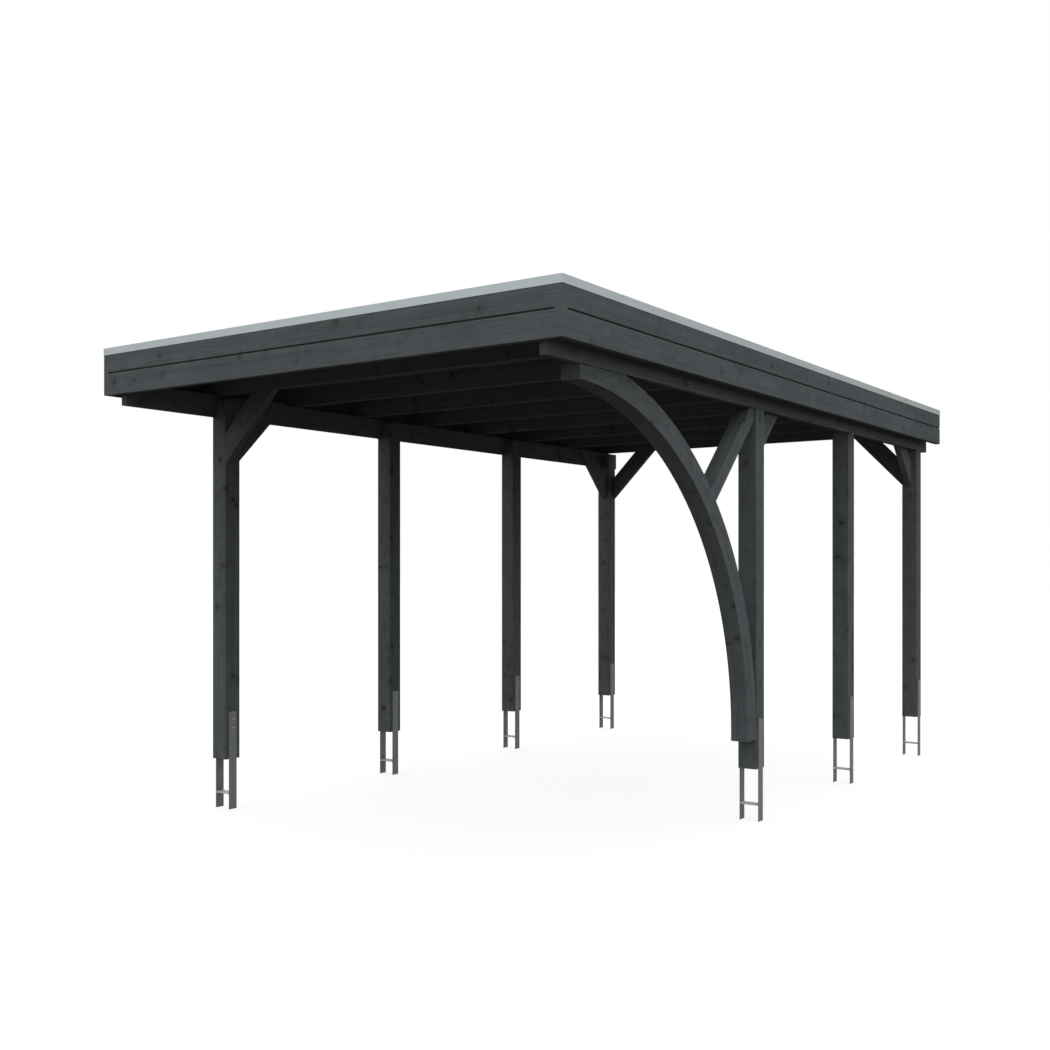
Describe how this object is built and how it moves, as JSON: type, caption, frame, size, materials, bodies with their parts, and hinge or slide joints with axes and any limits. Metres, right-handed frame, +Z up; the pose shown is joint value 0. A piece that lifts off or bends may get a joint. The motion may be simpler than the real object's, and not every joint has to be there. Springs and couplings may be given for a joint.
{
  "type": "carport",
  "caption": "Open single carport: a flat roof with a deep fascia on timber posts and steel anchors, with a quarter-round laminated arch and its strut in place of a front post.",
  "frame": {"origin": "on the ground under the middle of the roof, at the lower ends of the anchors", "axes": "+Z up, front (drive-in side) toward -Y, +X toward the side with the arch"},
  "size_m": [3.21, 5.54, 2.7835],
  "materials": {
    "timber": "grey stained laminated timber, matt",
    "deck": "grey stained boards, matt",
    "membrane": "matt black sheet",
    "trim": "plain folded sheet, satin",
    "anchor": "galvanised, dull"
  },
  "bodies": {
    "root": {"fascia_front": "timber", "fascia_left": "timber", "fascia_right": "timber", "purlin_left": "timber", "purlin_right": "timber", "rafter_1": "timber", "rafter_2": "timber", "rafter_3": "timber", "rafter_4": "timber", "rafter_5": "timber", "rafter_6": "timber", "rafter_7": "timber", "rafter_8": "timber", "rafter_9": "timber", "post_left_1": "timber", "post_left_2": "timber", "post_left_3": "timber", "post_left_4": "timber", "post_right_2": "timber", "post_right_3": "timber", "post_right_4": "timber", "arch": "timber", "arch_strut": "timber", "cross_brace_left_front": "timber", "cross_brace_left_back": "timber", "cross_brace_right_back": "timber", "side_brace_left_front": "timber", "side_brace_left_back": "timber", "side_brace_right_front": "timber", "side_brace_right_back": "timber", "roof_deck": "deck", "roof_membrane": "membrane", "trim_front": "trim", "trim_left": "trim", "trim_right": "trim", "trim_back": "trim", "anchor_left_1": "anchor", "anchor_left_2": "anchor", "anchor_left_3": "anchor", "anchor_left_4": "anchor", "anchor_right_2": "anchor", "anchor_right_3": "anchor", "anchor_right_4": "anchor"}
  },
  "joints": []
}
